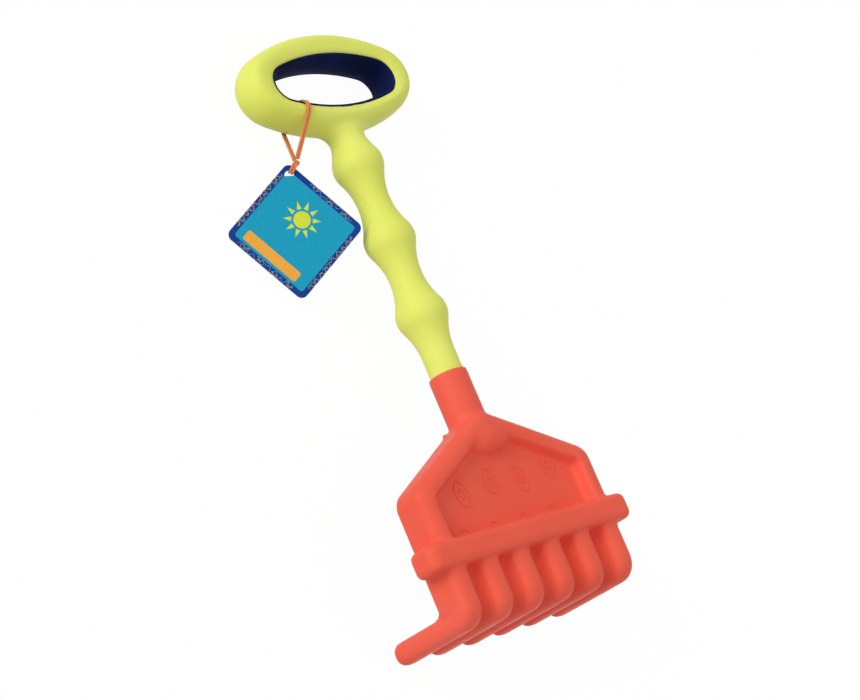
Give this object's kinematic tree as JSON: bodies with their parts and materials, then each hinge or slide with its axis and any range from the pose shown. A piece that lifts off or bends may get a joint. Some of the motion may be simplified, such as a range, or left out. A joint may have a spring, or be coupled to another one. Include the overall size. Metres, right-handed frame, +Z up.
{
  "type": "toy sand rake",
  "caption": "Toy sand rake with an oval ring handle, wavy stem, a toothed head pushed on the stem, and a hang tag on an elastic tie.",
  "frame": {"origin": "centre of the rake's bounding box at the level of the surface it lies on, without the hang tag and its tie", "axes": "+Z up with the rake lying front face up on its tooth tips and on the back of the ring; +Y from the head towards the ring handle; +X across the head"},
  "size_m": [0.2055, 0.4528, 0.0896],
  "materials": {
    "handle_plastic": "satin",
    "grip_rubber": "satin",
    "head_plastic": "satin",
    "tie_elastic": "matte",
    "tag_card": "satin"
  },
  "bodies": {
    "rake": {"handle": "handle_plastic", "grip_liner": "grip_rubber", "rake_head": "head_plastic", "tag_tie": "tie_elastic"},
    "tag": {"tie_knot": "tie_elastic", "tag_card": "tag_card"}
  },
  "joints": [
    {"name": "tag_lift", "type": "hinge", "parent": "rake", "child": "tag", "pos_m": [-0.05454, 0.13023, 0.02848], "axis": [-0.8772, 0.2973, -0.377], "range_deg": [0, 80]}
  ]
}
